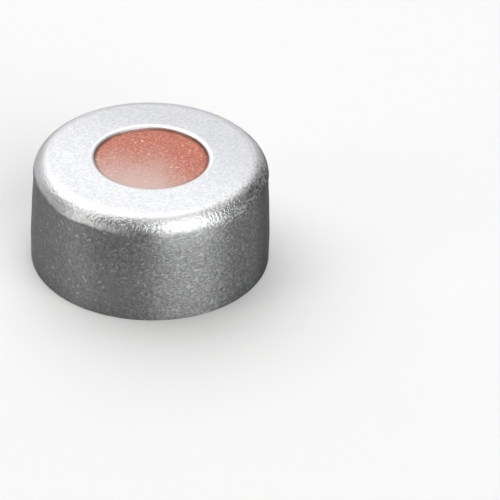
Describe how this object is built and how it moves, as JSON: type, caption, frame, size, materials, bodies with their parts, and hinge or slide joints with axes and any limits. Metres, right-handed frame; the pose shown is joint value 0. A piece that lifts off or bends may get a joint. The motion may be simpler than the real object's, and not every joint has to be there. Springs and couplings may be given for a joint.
{
  "type": "crimp vial cap",
  "caption": "Round drawn aluminium crimp cap with a central window in its top and a red rubber septum, film faced underneath, seated inside.",
  "frame": {"origin": "middle of the trimmed rim, on the surface that the cap stands on", "axes": "+Z along the cap's axis and out of its top; the cap is round, so X and Y only say that the picture is taken from the -Y side"},
  "size_m": [0.0116, 0.0116, 0.0055],
  "materials": {
    "drawn_aluminium": "satin, with fine rolled grain",
    "red_rubber": "matte, with a pale bloom",
    "thin_film": "clear gloss film that shows the red rubber"
  },
  "bodies": {
    "root": {"cap_shell": "drawn_aluminium", "septum_rubber": "red_rubber", "septum_film": "thin_film"}
  },
  "joints": []
}
